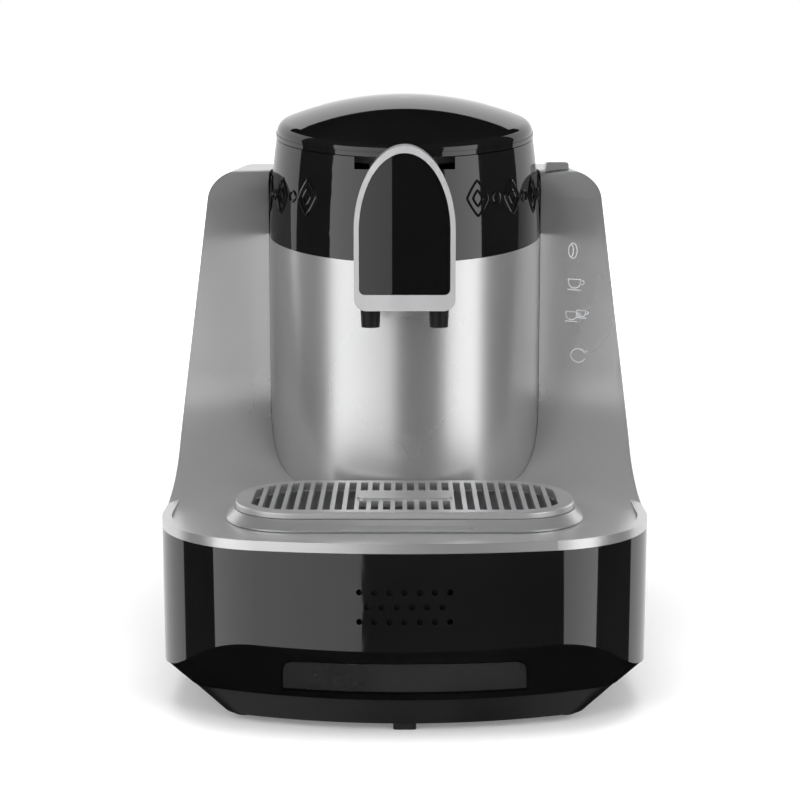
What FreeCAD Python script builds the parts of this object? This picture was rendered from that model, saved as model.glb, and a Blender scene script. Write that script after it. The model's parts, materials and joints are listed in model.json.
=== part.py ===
# Electric Turkish coffee maker: round brewing tower with a hinged lid, two-nozzle spout,
# dished deck with side wings, lift-off drip tray, rear water tank and black base housing.
# Millimetres. X is the machine's right seen from the front, Y runs front to back, Z is up.
# The origin is the centre of the machine's footprint, on the surface it stands on.

import FreeCAD, Part
import math
import os

V = FreeCAD.Vector

# Overall body
body_width = 230.0
body_depth = 285.0
wall = 2.5
front_bow_radius = 350.0
front_corner_radius = 58.0
rear_corner_radius = 30.0

# Heights
foot_height = 4.0
pan_top = 15.0
hull_bend = 42.4
deck_split = 87.5
deck_floor = 90.0
rim_top = 92.0
top_level = 249.0

# Base hull
hull_low_width = body_width - 24.0
hull_low_front_inset = 15.2
hull_low_rear_inset = 8.0
hull_low_bow_radius = 230.0
hull_low_corner_radius = 22.0
hull_high_width = body_width + 49.0
hull_high_rear_overshoot = 20.0
pan_low_width = body_width - 59.0
pan_low_front_inset = 14.5
pan_low_rear_inset = 16.0
pan_low_corner_radius = 14.0
pan_edge_inset = 0.6
hull_panel_half_width = 55.5
hull_panel_low = 18.4
hull_panel_high = 36.0
hull_panel_depth = 1.4
hull_panel_corner = 5.0
hull_panel_low_corner = 1.0
hull_panel_flare = 1.5

# Speaker in the front of the base
speaker_height = 63.1
speaker_radius = 21.0
speaker_depth = 13.0
speaker_hole_radius = 1.4
speaker_hole_pitch = 6.75
speaker_rows = (7, 6, 7)

# Dished deck and wings
rim_width = 4.5
dish_axis_y = -114.5
dish_wall_radius = 168.0
dish_fillet = 55.0
wing_edge_radius = 14.0
wing_lean_start = 125.0
wing_lean_angle = 6.9
wing_lean_blend = 20.0
wing_lean_overshoot = 0.2
wing_corner_radius = 15.0
rear_top_radius = 10.0

# Chassis
chassis_thickness = 3.0
pillar_radius = 6.0
pillar_x = body_width / 2 - 39.0
pillar_front_y = -16.0
pillar_rear_y = body_depth / 2 - 50.5
screw_radius = 1.75
screw_head_radius = 3.5
screw_head_height = 2.0
screw_length = 22.0
screw_head_sink = 1.0
screw_head_clearance = 0.1

# Brewing tower
tower_y = 41.5
tower_radius = 71.5
tower_gap = 0.2
tilt_angle = 8.0
band_low = 216.5
seam_height = 267.0
band_bulge_start = 206.0
band_bulge_radius = 420.0
band_notch_half_width = 24.8
band_notch_depth = 5.0
ledge_inner_radius = 63.0
ledge_top = 120.0
ledge_thickness = 3.0

# Brewing chamber and its heater
chamber_radius = 48.0
chamber_wall = 1.0
chamber_floor = 137.0
rim_below_seam = 6.3
collar_below_seam = 9.0
collar_thickness = 3.0
catch_swing_room = 11.0
cradle_thickness = 3.0
cradle_hole_radius = 20.0
heater_radius = 46.0
element_radius = 3.2
element_ring_radius = 30.0
thermostat_radius = 8.0
thermostat_height = 9.0
element_rise = 7.0

# Lid
lid_radius = 67.3
lid_height = 20.6
lid_crown_radius = 172.0
lid_corner_radius = 6.5
lid_skirt = 2.6
lid_skirt_step = 0.5
lid_seam_gap = 0.4
lid_wall = 2.5
lid_centre_shift = 1.4
liner_thickness = 2.5
liner_bottom = 0.0
gasket_inner_radius = 44.0
gasket_outer_radius = 51.5
gasket_gap = 0.3

# Lid hinge
hinge_y = 114.0
hinge_z = 272.0
hinge_knuckle_radius = 4.5
hinge_pin_radius = 2.0
hinge_pin_clearance = 0.05
hinge_arm_half_width = 9.0
hinge_side_gap = 0.4
hinge_bracket_half_width = 17.0
hinge_foot_size = 12.0
hinge_arm_gap = 5.6
hinge_arm_low = 5.2
hinge_arm_high = 9.0
hinge_arm_length = 14.0
hinge_post_back = 3.0
hinge_post_front = 3.5
hinge_lid_clearance = 1.0

# Lid release slider
release_y = 50.0
release_width = 8.0
release_travel = 4.0
release_clearance = 0.6
tab_left = tower_radius + 2.5
tab_right = tower_radius + 15.0
tab_length = 13.0
tab_height = 4.0
tab_gap = 0.3
tab_lean = 0.8
tab_corner = 1.2
stem_left = tower_radius + 5.5
stem_right = tower_radius + 11.5
bar_inner_end = 52.0
bar_low = 239.0
bar_high = 243.0
catch_left = 52.6
catch_right = 55.4
catch_length = 16.0
catch_low = 235.5
catch_window_side = 1.0
guide_side = 1.5
guide_outer_side = 4.0
guide_tower_gap = 2.0
latch_spring_radius = 2.4
latch_spring_wire = 0.8
latch_spring_length = 7.0

# Spout
nose_half_width = 23.9
nose_arch_height = 39.6
nose_arch_inset_share = 1.35
nose_spring_line = 225.0
nose_bottom = 187.5
nose_corner_radius = 5.6
nose_front = -72.5
nose_frame_depth = 2.0
nose_frame_side = 2.4
nose_frame_bottom = 7.6
nose_window_corner = 2.8
nose_window_sink = 0.5
nose_wall = 2.0
nose_inner_corner = 1.0
nozzle_x = 16.4
nozzle_y = -56.0
nozzle_top_radius = 4.9
nozzle_tip_radius = 4.4
nozzle_spigot_radius = 4.0
nozzle_bore_radius = 1.8
nozzle_length = 9.5
manifold_half_width = 20.5
manifold_height = 10.0
manifold_depth = 16.0
manifold_neck_half_width = 5.0
manifold_bore_rise = 4.0

# Transfer tube from the chamber to the spout
tube_radius = 3.0
tube_bore_radius = 2.0
tube_level = 232.0
tube_drop_y = 5.5
tube_foot = 142.0
tube_bend = 10.0

# Drip tray and grille
plate_half_width = 80.6
plate_front = -105.7
plate_back = -32.7
plate_front_radius = 29.0
plate_back_radius = 35.0
plate_top = 98.0
plate_thickness = 3.0
tray_gap = 0.3
flange_grow_side = 4.1
flange_grow_front = 7.5
flange_grow_back = 2.0
tray_lip_grow = 0.6
tray_inset = 3.0
flange_edge = 0.8
tray_wall = 2.0
tray_floor = 74.0
tray_pull_half_width = 31.0
tray_pull_low = 91.1
tray_pull_high = 93.4
tray_pull_depth = 3.0
well_gap = 1.0
well_wall = 2.0
slot_pitch = 5.65
slot_width = 3.5
slot_columns = 26
short_slot_columns = 8
slot_margin = 6.0
grip_front = -80.5
grip_back = -62.0
grip_rise = 1.2
grip_corner = 3.0
grip_inset = 1.0
plate_edge_fillet = 1.0
grille_rim_gap = 0.6
grille_rim_wall = 1.8
grille_rim_depth = 1.6

# Water tank and its bay
bay_half_width = body_width / 2 - 22.0
bay_front = 88.0
bay_wall = 2.5
bay_roof = 237.0
bay_tower_gap = 3.0
tank_gap = 0.5
tank_wall = 2.0
tank_headroom = 1.0
tank_grip_width = 60.0
tank_grip_height = 18.0
tank_grip_depth = 7.0
tank_grip_low = 205.0
outlet_x = 15.0 - bay_half_width
outlet_z = 103.0
outlet_radius = 4.0
outlet_bore_radius = 2.0
outlet_reach = 9.0
outlet_spigot_step = 1.0
filter_length = 8.0
filter_depth = 6.5
filter_wall = 1.5
dock_seal_radius = 6.5
dock_width = 16.0
dock_depth = 15.0
dock_running_gap = 0.3

# Water path in the base
pump_x = -36.0
pump_front = 12.0
pump_length = 70.0
pump_radius = 17.0
pump_height = 40.0
pump_nipple = 6.0
hose_radius = 3.0
hose_bore_radius = 1.8
hose_bend = 9.0
hose_hole_clearance = 1.0
hose_sink = 1.0
pump_mount_inset = 14.0
pump_mount_half_width = 14.0
pump_mount_half_length = 5.0
riser_y = -4.0
inlet_level = 215.0
vent_valve_width = 30.0
vent_valve_depth = 26.0
vent_valve_height = 34.0

# Electronics
board_width = 80.0
board_depth = 60.0
board_thickness = 1.6
board_left = -14.0
board_front = body_depth / 2 - 97.5
board_height = 18.0
board_post_radius = 3.0
board_margin = 5.0
relay_place = (12.0, 12.0)
relay_size = (20.0, 16.0, 16.0)
transformer_place = (12.0, 34.0)
transformer_size = (28.0, 20.0, 20.0)
triac_place = (50.0, 14.0)
triac_size = (8.0, 6.0, 18.0)
chip_place = (62.0, 14.0)
chip_size = (12.0, 12.0, 2.5)
capacitor_place = (62.0, 42.0)
capacitor_radius = 6.0
capacitor_height = 22.0
touch_left = body_width / 2 - 31.0
touch_right = body_width / 2 - 18.0
touch_low = 124.0
touch_high = 214.0
touch_thickness = 1.5

# Cord gland
gland_x = 62.0
gland_z = 42.0
gland_flange_radius = 10.0
gland_flange_thickness = 3.0
gland_body_radius = 8.0
gland_body_length = 14.0
gland_bore_radius = 3.6

# Feet
foot_radius = 7.0
foot_x = body_width / 2 - 40.0
foot_front_y = 44.5 - body_depth / 2
foot_rear_y = body_depth / 2 - 34.5
front_block_width = 10.6
front_block_length = 9.0
front_block_corner = 1.5
foot_chamfer = 0.8
front_block_y = 22.5 - body_depth / 2


half_width = body_width / 2
front = -body_depth / 2
rear = body_depth / 2
reach = 400.0
tan_tilt = math.tan(math.radians(tilt_angle))
column_y = nozzle_y
pump_rear = pump_front + pump_length
riser_x = abs(pump_x)
lid_top = seam_height + 2 * lid_height


# General shapes

def box(x0, x1, y0, y1, z0, z1):
    return Part.makeBox(x1 - x0, y1 - y0, z1 - z0, V(x0, y0, z0))


def rod_z(x, y, z0, z1, radius):
    return Part.makeCylinder(radius, z1 - z0, V(x, y, z0), V(0, 0, 1))


def rod_y(x, y0, y1, z, radius):
    return Part.makeCylinder(radius, y1 - y0, V(x, y0, z), V(0, 1, 0))


def rod_x(x0, x1, y, z, radius):
    return Part.makeCylinder(radius, x1 - x0, V(x0, y, z), V(1, 0, 0))


def rounded_wire(points, radii):
    """A closed wire through points, each corner rounded by its own radius."""
    count = len(points)
    starts = []
    ends = []
    middles = []
    for index in range(count):
        corner = points[index]
        before = (points[index - 1] - corner).normalize()
        after = (points[(index + 1) % count] - corner).normalize()
        radius = radii[index]
        half_turn = before.getAngle(after) / 2
        if radius <= 0:
            starts.append(corner)
            ends.append(corner)
            middles.append(None)
            continue
        run = radius / math.tan(half_turn)
        bisector = (before + after).normalize()
        middles.append(corner + bisector * (radius / math.sin(half_turn) - radius))
        starts.append(corner + before * run)
        ends.append(corner + after * run)
    edges = []
    for index in range(count):
        if middles[index] is not None:
            edges.append(Part.Arc(starts[index], middles[index], ends[index]).toShape())
        following = starts[(index + 1) % count]
        if (following - ends[index]).Length > 1e-6:
            edges.append(Part.LineSegment(ends[index], following).toShape())
    return Part.Wire(edges)


def prism(wire, direction):
    return Part.Face(wire).extrude(direction)


def revolved(wire, centre, axis):
    return Part.Face(wire).revolve(centre, axis, 360)


def fused(shapes):
    return shapes[0].multiFuse(shapes[1:]).removeSplitter()


def swept_tube(points, bend, radius):
    """A round rod along straight runs joined by tangent arcs."""
    edges = []
    last = points[0]
    for index in range(1, len(points) - 1):
        corner = points[index]
        before = (points[index - 1] - corner).normalize()
        after = (points[index + 1] - corner).normalize()
        half_turn = before.getAngle(after) / 2
        run = bend / math.tan(half_turn)
        start = corner + before * run
        end = corner + after * run
        middle = corner + (before + after).normalize() * (bend / math.sin(half_turn) - bend)
        edges.append(Part.LineSegment(last, start).toShape())
        edges.append(Part.Arc(start, middle, end).toShape())
        last = end
    edges.append(Part.LineSegment(last, points[-1]).toShape())
    path = Part.Wire(edges)
    section = Part.Wire(Part.makeCircle(radius, points[0], points[1] - points[0]))
    return path.makePipeShell([section], True, False)


# Body outlines

def plan_wire(half, y_front, bow, corner, y_rear, rear_corner, z):
    """Outline with a bowed front, rounded corners and a straight back."""
    bow_y = y_front + bow
    corner_x = half - corner
    corner_y = bow_y - math.sqrt((bow - corner) ** 2 - corner_x ** 2)
    angle = math.atan2(corner_x, bow_y - corner_y)
    join_x = bow * math.sin(angle)
    join_y = bow_y - bow * math.cos(angle)
    middle_angle = (angle + math.pi / 2) / 2
    corner_mid_x = corner_x + corner * math.sin(middle_angle)
    corner_mid_y = corner_y - corner * math.cos(middle_angle)
    rear_x = half - rear_corner
    rear_y = y_rear - rear_corner
    diagonal = rear_corner * math.sqrt(0.5)
    edges = [
        Part.Arc(V(-join_x, join_y, z), V(0, y_front, z), V(join_x, join_y, z)).toShape(),
        Part.Arc(V(join_x, join_y, z), V(corner_mid_x, corner_mid_y, z), V(half, corner_y, z)).toShape(),
        Part.LineSegment(V(half, corner_y, z), V(half, rear_y, z)).toShape(),
        Part.Arc(V(half, rear_y, z), V(rear_x + diagonal, rear_y + diagonal, z), V(rear_x, y_rear, z)).toShape(),
        Part.LineSegment(V(rear_x, y_rear, z), V(-rear_x, y_rear, z)).toShape(),
        Part.Arc(V(-rear_x, y_rear, z), V(-rear_x - diagonal, rear_y + diagonal, z), V(-half, rear_y, z)).toShape(),
        Part.LineSegment(V(-half, rear_y, z), V(-half, corner_y, z)).toShape(),
        Part.Arc(V(-half, corner_y, z), V(-corner_mid_x, corner_mid_y, z), V(-join_x, join_y, z)).toShape(),
    ]
    return Part.Wire(edges)


def body_prism(inset, z0, z1):
    wire = plan_wire(half_width - inset, front + inset, front_bow_radius - inset,
                     front_corner_radius - inset, rear - inset, rear_corner_radius - inset, z0)
    return prism(wire, V(0, 0, z1 - z0))


def hull_outline(step, inset, z):
    """Outline of the slanting hull: step 0 at its foot, 1 at the bend, more above."""
    def between(low, high):
        return low + step * (high - low)

    return plan_wire(between(hull_low_width, hull_high_width) / 2 - inset,
                     between(front + hull_low_front_inset, front) + inset,
                     between(hull_low_bow_radius, front_bow_radius) - inset,
                     between(hull_low_corner_radius, front_corner_radius) - inset,
                     between(rear - hull_low_rear_inset, rear + hull_high_rear_overshoot) - inset,
                     rear_corner_radius - inset, z)


def hull_loft(inset):
    top_step = (deck_split + 1 - pan_top) / (hull_bend - pan_top)
    wires = [hull_outline(0, inset, pan_top), hull_outline(top_step, inset, deck_split + 1)]
    return Part.makeLoft(wires, True, True)


def pan_loft(inset, z0, z1):
    high = plan_wire(hull_low_width / 2 - inset, front + hull_low_front_inset + inset,
                     hull_low_bow_radius - inset, hull_low_corner_radius - inset,
                     rear - hull_low_rear_inset - inset, rear_corner_radius - inset, z1)
    low = plan_wire(pan_low_width / 2 - inset, front + pan_low_front_inset + inset,
                    hull_low_bow_radius - inset, pan_low_corner_radius - inset,
                    rear - pan_low_rear_inset - inset, rear_corner_radius - inset, z0)
    return Part.makeLoft([low, high], True, True)


def front_view_prism(inset):
    """Leaning sides and rounded top corners, as seen from the front."""
    lean = math.tan(math.radians(wing_lean_angle))
    half = half_width - inset + wing_lean_overshoot
    lean_start = wing_lean_start - wing_lean_overshoot / lean
    top = top_level - inset
    top_half = half - (top - lean_start) * lean
    blend = wing_lean_blend / math.tan(math.radians(wing_lean_angle / 2))
    corner = wing_corner_radius - inset
    points = [V(-half, front - 1, 0), V(half, front - 1, 0), V(half, front - 1, lean_start),
              V(top_half, front - 1, top), V(-top_half, front - 1, top),
              V(-half, front - 1, lean_start)]
    wire = rounded_wire(points, [0, 0, blend, corner, corner, blend])
    return prism(wire, V(0, body_depth + 2, 0))


def side_view_prism(inset):
    """Rounded rear top edge, as seen from the side."""
    points = [V(-reach / 2, front - 1, 0), V(-reach / 2, rear - inset, 0),
              V(-reach / 2, rear - inset, top_level - inset), V(-reach / 2, front - 1, top_level - inset)]
    wire = rounded_wire(points, [0, 0, rear_top_radius - inset, 0])
    return prism(wire, V(reach, 0, 0))


def dish_cut(inset):
    """The round dish that hollows the deck and the fronts of the wings."""
    floor = deck_floor - inset
    wall_r = dish_wall_radius + inset
    fillet = dish_fillet + inset
    edge = wing_edge_radius - inset
    edge_z = top_level - wing_edge_radius
    flat = wall_r - fillet
    outer = wall_r + edge
    ceiling = top_level + 20
    diagonal = math.sqrt(0.5)
    y = dish_axis_y

    def at(r, z):
        return V(r, y, z)

    edges = [
        Part.LineSegment(at(0, floor), at(flat, floor)).toShape(),
        Part.Arc(at(flat, floor), at(flat + fillet * diagonal, floor + fillet - fillet * diagonal),
                 at(wall_r, floor + fillet)).toShape(),
        Part.LineSegment(at(wall_r, floor + fillet), at(wall_r, edge_z)).toShape(),
        Part.Arc(at(wall_r, edge_z), at(outer - edge * diagonal, edge_z + edge * diagonal),
                 at(outer, edge_z + edge)).toShape(),
        Part.LineSegment(at(outer, edge_z + edge), at(outer, ceiling)).toShape(),
        Part.LineSegment(at(outer, ceiling), at(0, ceiling)).toShape(),
        Part.LineSegment(at(0, ceiling), at(0, floor)).toShape(),
    ]
    return revolved(Part.Wire(edges), V(0, y, 0), V(0, 0, 1))


def envelope(inset):
    body = body_prism(inset, deck_split, top_level + 10)
    return body.common(side_view_prism(inset)).common(front_view_prism(inset))


# Tray outlines

def tray_wire(grow_side, grow_front, grow_back, z):
    half = plate_half_width + grow_side
    y0 = plate_front - grow_front
    y1 = plate_back + grow_back
    r0 = plate_front_radius + grow_side
    r1 = plate_back_radius + grow_side
    points = [V(-half, y0, z), V(half, y0, z), V(half, y1, z), V(-half, y1, z)]
    return rounded_wire(points, [r0, r0, r1, r1])


def tray_prism(grow, z0, z1):
    return prism(tray_wire(grow, grow, grow, z0), V(0, 0, z1 - z0))


# Tower frame

def tilted_z(z, y):
    return z + (y - tower_y) * tan_tilt


def below_plane(z):
    """Everything under the tilted plane that passes height z at the tower's axis."""
    y0 = tower_y - reach / 2
    y1 = tower_y + reach / 2
    low = -50
    points = [V(-reach / 2, y0, low), V(-reach / 2, y1, low),
              V(-reach / 2, y1, tilted_z(z, y1)), V(-reach / 2, y0, tilted_z(z, y0))]
    return prism(Part.makePolygon(points + points[:1]), V(reach, 0, 0))


def band_body(inset):
    """The tapering round form of the upper tower."""
    top = seam_height + 30
    base = band_bulge_start - 20

    def radius_at(z):
        rise = z - band_bulge_start
        return tower_radius - inset - rise * rise / (2 * band_bulge_radius)

    middle = (band_bulge_start + top) / 2
    edges = [
        Part.LineSegment(V(0, tower_y, base), V(tower_radius - inset, tower_y, base)).toShape(),
        Part.LineSegment(V(tower_radius - inset, tower_y, base),
                         V(tower_radius - inset, tower_y, band_bulge_start)).toShape(),
        Part.Arc(V(tower_radius - inset, tower_y, band_bulge_start), V(radius_at(middle), tower_y, middle),
                 V(radius_at(top), tower_y, top)).toShape(),
        Part.LineSegment(V(radius_at(top), tower_y, top), V(0, tower_y, top)).toShape(),
        Part.LineSegment(V(0, tower_y, top), V(0, tower_y, base)).toShape(),
    ]
    return revolved(Part.Wire(edges), V(0, tower_y, 0), V(0, 0, 1))


def in_lid_frame(shape):
    """Move a shape made about the Z axis, with the seam at z = 0, onto the tilted seam."""
    shape.rotate(V(0, 0, 0), V(1, 0, 0), tilt_angle)
    shape.translate(V(0, tower_y - lid_centre_shift, tilted_z(seam_height, tower_y - lid_centre_shift)))
    return shape


def ring_in_lid_frame(inner, outer, z0, z1):
    ring = rod_z(0, 0, z0, z1, outer)
    if inner > 0:
        ring = ring.cut(rod_z(0, 0, z0 - 1, z1 + 1, inner))
    return in_lid_frame(ring)


def dome(inset, z0, skirt_step):
    """Domed lid form: stepped skirt, rounded edge and a shallow crown."""
    radius = lid_radius - lid_skirt_step - inset
    skirt_top = lid_skirt
    corner = lid_corner_radius - inset
    crown = lid_crown_radius - inset
    top = lid_height - inset
    corner_x = radius - corner
    crown_z = top - crown
    corner_z = crown_z + math.sqrt((crown - corner) ** 2 - corner_x ** 2)
    join = math.atan2(corner_x, corner_z - crown_z)
    join_x = crown * math.sin(join)
    join_z = crown_z + crown * math.cos(join)
    mid_crown = join / 2
    mid_corner = (join + math.pi / 2) / 2
    edges = [
        Part.LineSegment(V(0, 0, z0), V(radius + skirt_step, 0, z0)).toShape(),
        Part.LineSegment(V(radius + skirt_step, 0, z0), V(radius + skirt_step, 0, skirt_top)).toShape(),
        Part.LineSegment(V(radius, 0, skirt_top), V(radius, 0, corner_z)).toShape(),
        Part.Arc(V(radius, 0, corner_z),
                 V(corner_x + corner * math.sin(mid_corner), 0, corner_z + corner * math.cos(mid_corner)),
                 V(join_x, 0, join_z)).toShape(),
        Part.Arc(V(join_x, 0, join_z), V(crown * math.sin(mid_crown), 0, crown_z + crown * math.cos(mid_crown)),
                 V(0, 0, top)).toShape(),
        Part.LineSegment(V(0, 0, top), V(0, 0, z0)).toShape(),
    ]
    if skirt_step > 0:
        step = Part.LineSegment(V(radius + skirt_step, 0, skirt_top), V(radius, 0, skirt_top)).toShape()
        edges.insert(2, step)
    return in_lid_frame(revolved(Part.Wire(edges), V(0, 0, 0), V(0, 0, 1)))


# Base

def pillar_places():
    return [(x, y) for y in (pillar_front_y, pillar_rear_y) for x in (-pillar_x, pillar_x)]


def make_base_pan():
    floor = foot_height + wall
    pan = pan_loft(pan_edge_inset, foot_height, pan_top)
    pan = pan.cut(pan_loft(pan_edge_inset + wall, foot_height, pan_top).common(
        box(-reach / 2, reach / 2, -reach / 2, reach / 2, floor, pan_top)))
    for x, y in pillar_places():
        pan = pan.cut(rod_z(x, y, foot_height, floor, screw_radius))
        pan = pan.cut(rod_z(x, y, foot_height, foot_height + screw_head_sink, screw_head_radius))
    return pan


def make_base_screws():
    seat = foot_height + screw_head_sink
    screws = []
    for x, y in pillar_places():
        head = rod_z(x, y, seat - screw_head_height / 2, seat, screw_head_radius - screw_head_clearance)
        shank = rod_z(x, y, seat, seat + screw_length, screw_radius)
        screws.append(head.fuse(shank))
    return Part.makeCompound(screws)


def make_feet():
    feet = []
    for x, y in ((-foot_x, foot_front_y), (foot_x, foot_front_y), (-foot_x, foot_rear_y), (foot_x, foot_rear_y)):
        pad = rod_z(x, y, 0, foot_height, foot_radius)
        feet.append(pad.makeChamfer(foot_chamfer, [edge for edge in pad.Edges if abs(edge.CenterOfMass.z) < 1e-6]))
    points = [V(-front_block_width / 2, front_block_y - front_block_length / 2, 0),
              V(front_block_width / 2, front_block_y - front_block_length / 2, 0),
              V(front_block_width / 2, front_block_y + front_block_length / 2, 0),
              V(-front_block_width / 2, front_block_y + front_block_length / 2, 0)]
    feet.append(prism(rounded_wire(points, [front_block_corner] * 4), V(0, 0, foot_height)))
    return Part.makeCompound(feet)


def hull_solid(inset):
    return body_prism(inset, pan_top, deck_split).common(hull_loft(inset))


def speaker_hole_places():
    places = []
    for row, count in enumerate(speaker_rows):
        z = speaker_height + (1 - row) * speaker_hole_pitch
        for index in range(count):
            places.append(((index - (count - 1) / 2) * speaker_hole_pitch, z))
    return places


def hull_panel_pocket():
    """Shallow pocket in the slanting face under the front."""
    half = hull_panel_half_width
    low_half = half + hull_panel_flare
    points = [V(-low_half, front - 1, hull_panel_low), V(low_half, front - 1, hull_panel_low),
              V(half, front - 1, hull_panel_high), V(-half, front - 1, hull_panel_high)]
    radii = [hull_panel_low_corner, hull_panel_low_corner, hull_panel_corner, hull_panel_corner]
    block = prism(rounded_wire(points, radii), V(0, pan_top + hull_low_front_inset, 0))
    kept = hull_loft(0)
    kept.translate(V(0, hull_panel_depth, 0))
    return block.cut(kept)


def make_lower_housing():
    housing = hull_solid(0).cut(hull_solid(wall))
    housing = housing.cut(hull_panel_pocket())
    housing = housing.cut(rod_y(gland_x, rear - wall - 1, rear + 1, gland_z, gland_body_radius))
    holes = [rod_y(x, front - 1, front + speaker_depth, z, speaker_hole_radius) for x, z in speaker_hole_places()]
    return housing.cut(Part.makeCompound(holes))


def make_chassis():
    low = deck_split - chassis_thickness
    hole = hose_radius + hose_hole_clearance
    plate = body_prism(wall, low, deck_split)
    plate = plate.cut(tray_prism(well_gap + well_wall - tray_inset, low - 1, deck_split + 1))
    plate = plate.cut(rod_z(0, tower_y, low - 1, deck_split + 1, cradle_hole_radius))
    for x in (-riser_x, riser_x):
        plate = plate.cut(rod_z(x, riser_y, low - 1, deck_split + 1, hole))
    plate = plate.cut(rod_z(outlet_x, bay_front - bay_wall - dock_depth / 2, low - 1, deck_split + 1, hole))
    pillars = []
    for x, y in pillar_places():
        pillar = rod_z(x, y, foot_height + wall, deck_split - 1, pillar_radius)
        top = foot_height + screw_head_sink + screw_length
        pillars.append(pillar.cut(rod_z(x, y, foot_height, top, screw_radius)))
    return fused([plate] + pillars)


def make_speaker():
    body = rod_y(0, front - 1, front + wall + speaker_depth, speaker_height, speaker_radius)
    return body.common(hull_solid(wall))


def make_cord_gland():
    body = rod_y(gland_x, rear - gland_body_length, rear, gland_z, gland_body_radius)
    collar = rod_y(gland_x, rear - wall - gland_flange_thickness, rear - wall, gland_z, gland_flange_radius)
    bore = rod_y(gland_x, rear - gland_body_length - 1, rear + 1, gland_z, gland_bore_radius)
    return fused([body, collar]).cut(bore)


# Deck, wings and tower

def make_body_shell():
    outer = envelope(0)
    dish = dish_cut(0)
    inside_rim = body_prism(rim_width, deck_floor - 1, top_level + 20)
    above_rim = box(-reach / 2, reach / 2, -reach / 2, reach / 2, rim_top, top_level + 20)
    outer = outer.cut(dish.common(inside_rim)).cut(dish.common(above_rim))
    inner = envelope(wall).cut(dish_cut(wall))
    shell = outer.cut(inner)
    shell = shell.cut(rod_z(0, tower_y, deck_split - 1, top_level + 20, tower_radius + tower_gap))
    shell = shell.cut(tray_prism(well_gap - tray_inset, deck_split - 1, deck_floor + 1))
    opening = box(-bay_half_width, bay_half_width, rear - rear_corner_radius, rear + 1, deck_floor, bay_roof)
    shell = shell.cut(opening)
    slot = box(stem_left - release_clearance, stem_right + release_travel + release_clearance,
               release_y - release_width / 2 - release_clearance,
               release_y + release_width / 2 + release_clearance, top_level - wall - 1, top_level + 1)
    return shell.cut(slot)


def make_tower_shell():
    shell = rod_z(0, tower_y, deck_split, seam_height, tower_radius)
    shell = shell.cut(rod_z(0, tower_y, deck_split - 1, seam_height + 1, tower_radius - wall))
    ledge = rod_z(0, tower_y, ledge_top - ledge_thickness, ledge_top, tower_radius - wall / 2)
    ledge = ledge.cut(rod_z(0, tower_y, ledge_top - ledge_thickness, ledge_top, ledge_inner_radius))
    shell = fused([shell, ledge]).common(below_plane(band_low))
    return shell.cut(rod_y(0, nose_front, 0, tube_level, tube_radius + release_clearance))


def make_band():
    band = band_body(0).cut(band_body(wall)).common(below_plane(seam_height)).cut(below_plane(band_low))
    notch_floor = tilted_z(seam_height, tower_y - tower_radius) - band_notch_depth
    notch = box(-band_notch_half_width, band_notch_half_width, tower_y - tower_radius - 5, tower_y - tower_radius / 2,
                notch_floor, seam_height)
    band = band.cut(notch)
    band = band.cut(rod_y(0, nose_front, 0, tube_level, tube_radius + release_clearance))
    slot = box(tower_radius - 12, tower_radius + 2, release_y - release_width / 2 - release_clearance,
               release_y + release_width / 2 + release_clearance, bar_low - release_clearance,
               bar_high + release_clearance)
    return band.cut(slot)


def make_chamber_collar():
    top = seam_height - collar_below_seam
    collar = band_body(wall).common(below_plane(top)).cut(below_plane(top - collar_thickness))
    collar = collar.cut(rod_z(0, tower_y, band_low, lid_top, chamber_radius))
    slot = box(catch_left - release_clearance, catch_right + release_clearance,
               release_y - catch_length / 2 - catch_swing_room, release_y + catch_length / 2 + release_clearance,
               band_low, lid_top)
    return collar.cut(slot)


def make_chamber_cradle():
    outer = tower_radius - wall
    cradle = rod_z(0, tower_y, ledge_top, ledge_top + cradle_thickness, outer)
    cradle = cradle.cut(rod_z(0, tower_y, ledge_top - 1, ledge_top + cradle_thickness + 1, cradle_hole_radius))
    for x in (-riser_x, riser_x):
        cradle = cradle.cut(rod_z(x, riser_y, ledge_top - 1, ledge_top + cradle_thickness + 1,
                                  hose_radius + hose_hole_clearance))
    return cradle


def make_heater_plate():
    low = ledge_top + cradle_thickness
    plate = rod_z(0, tower_y, low, chamber_floor, heater_radius)
    ring = Part.makeTorus(element_ring_radius, element_radius, V(0, tower_y, low + element_rise), V(0, 0, 1))
    return plate.cut(ring)


def make_heating_element():
    low = ledge_top + cradle_thickness
    return Part.makeTorus(element_ring_radius, element_radius, V(0, tower_y, low + element_rise), V(0, 0, 1))


def make_thermostat():
    top = ledge_top + cradle_thickness
    return rod_z(0, tower_y, top - thermostat_height, top, thermostat_radius)


def transfer_path():
    return [V(0, tube_drop_y, tube_foot), V(0, tube_drop_y, tube_level),
            V(0, column_y + manifold_depth / 2, tube_level)]


def make_brew_chamber():
    top = seam_height - rim_below_seam
    pot = rod_z(0, tower_y, chamber_floor, seam_height + 10, chamber_radius)
    pot = pot.cut(rod_z(0, tower_y, chamber_floor + chamber_wall, seam_height + 11, chamber_radius - chamber_wall))
    pot = pot.common(below_plane(top))
    return pot.cut(rod_y(0, nose_front, tower_y, tube_level, tube_radius))


def make_transfer_tube():
    outer = swept_tube(transfer_path(), tube_bend, tube_radius)
    return outer.cut(swept_tube(transfer_path(), tube_bend, tube_bore_radius))


# Lid and its hinge

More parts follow.
